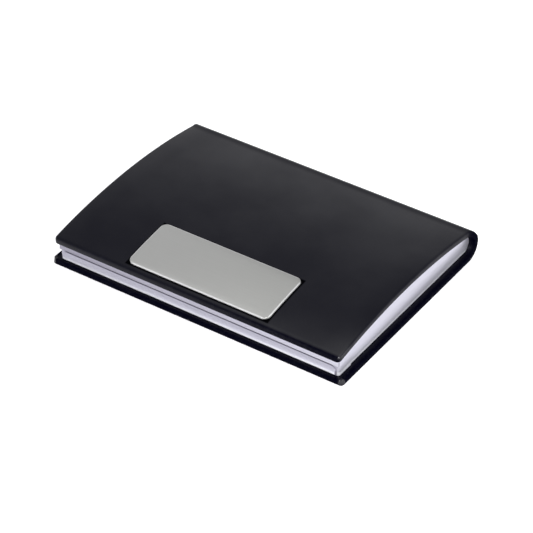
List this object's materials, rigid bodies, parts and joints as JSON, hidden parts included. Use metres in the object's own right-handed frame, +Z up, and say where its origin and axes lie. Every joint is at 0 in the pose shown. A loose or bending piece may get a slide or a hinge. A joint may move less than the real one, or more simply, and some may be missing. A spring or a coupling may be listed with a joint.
{
  "type": "business card case",
  "caption": "Slim arched card case: leather wrap round a folded steel tray, lid opening like a book on its soft spine, plain metal nameplate.",
  "frame": {"origin": "middle of the flat underside", "axes": "+X along the length, -Y towards the lid's free edge, +Y towards the spine, +Z up out of the lid"},
  "size_m": [0.0956, 0.0698, 0.0126],
  "materials": {
    "leather": "smooth satin black",
    "lining": "matte black microfibre",
    "board": "raw grey board",
    "adhesive": "foam adhesive sheet",
    "steel": "satin stainless steel",
    "rail": "matte black moulded bar",
    "magnet": "nickel plate",
    "nameplate": "fine satin steel"
  },
  "bodies": {
    "base": {"base_leather": "leather", "base_board": "board", "tray_tape": "adhesive", "tray": "steel", "tray_lining": "lining", "magnet_rail": "rail", "closing_magnets": "magnet"},
    "spine_lower": {"spine_leather_lower": "leather", "spine_lining_lower": "lining"},
    "spine_middle": {"spine_leather_middle": "leather", "spine_lining_middle": "lining"},
    "spine_upper": {"spine_leather_upper": "leather", "spine_lining_upper": "lining"},
    "lid": {"lid_leather": "leather", "lid_board": "board", "liner_tape": "adhesive", "lid_liner": "steel", "nameplate": "nameplate", "nameplate_tape": "adhesive"}
  },
  "joints": [
    {"name": "base_fold", "type": "hinge", "parent": "base", "child": "spine_lower", "pos_m": [0, 0.03006, 0], "axis": [-1, 0, 0], "range_deg": [0, 28.28]},
    {"name": "spine_lower_fold", "type": "hinge", "parent": "spine_lower", "child": "spine_middle", "pos_m": [0, 0.03413, 0.00219], "axis": [-1, 0, 0], "range_deg": [0, 56.57]},
    {"name": "spine_upper_fold", "type": "hinge", "parent": "spine_middle", "child": "spine_upper", "pos_m": [0, 0.03455, 0.0068], "axis": [-1, 0, 0], "range_deg": [0, 56.57]},
    {"name": "lid_fold", "type": "hinge", "parent": "spine_upper", "child": "lid", "pos_m": [0, 0.03093, 0.00968], "axis": [-1, 0, 0], "range_deg": [0, 28.28]}
  ]
}
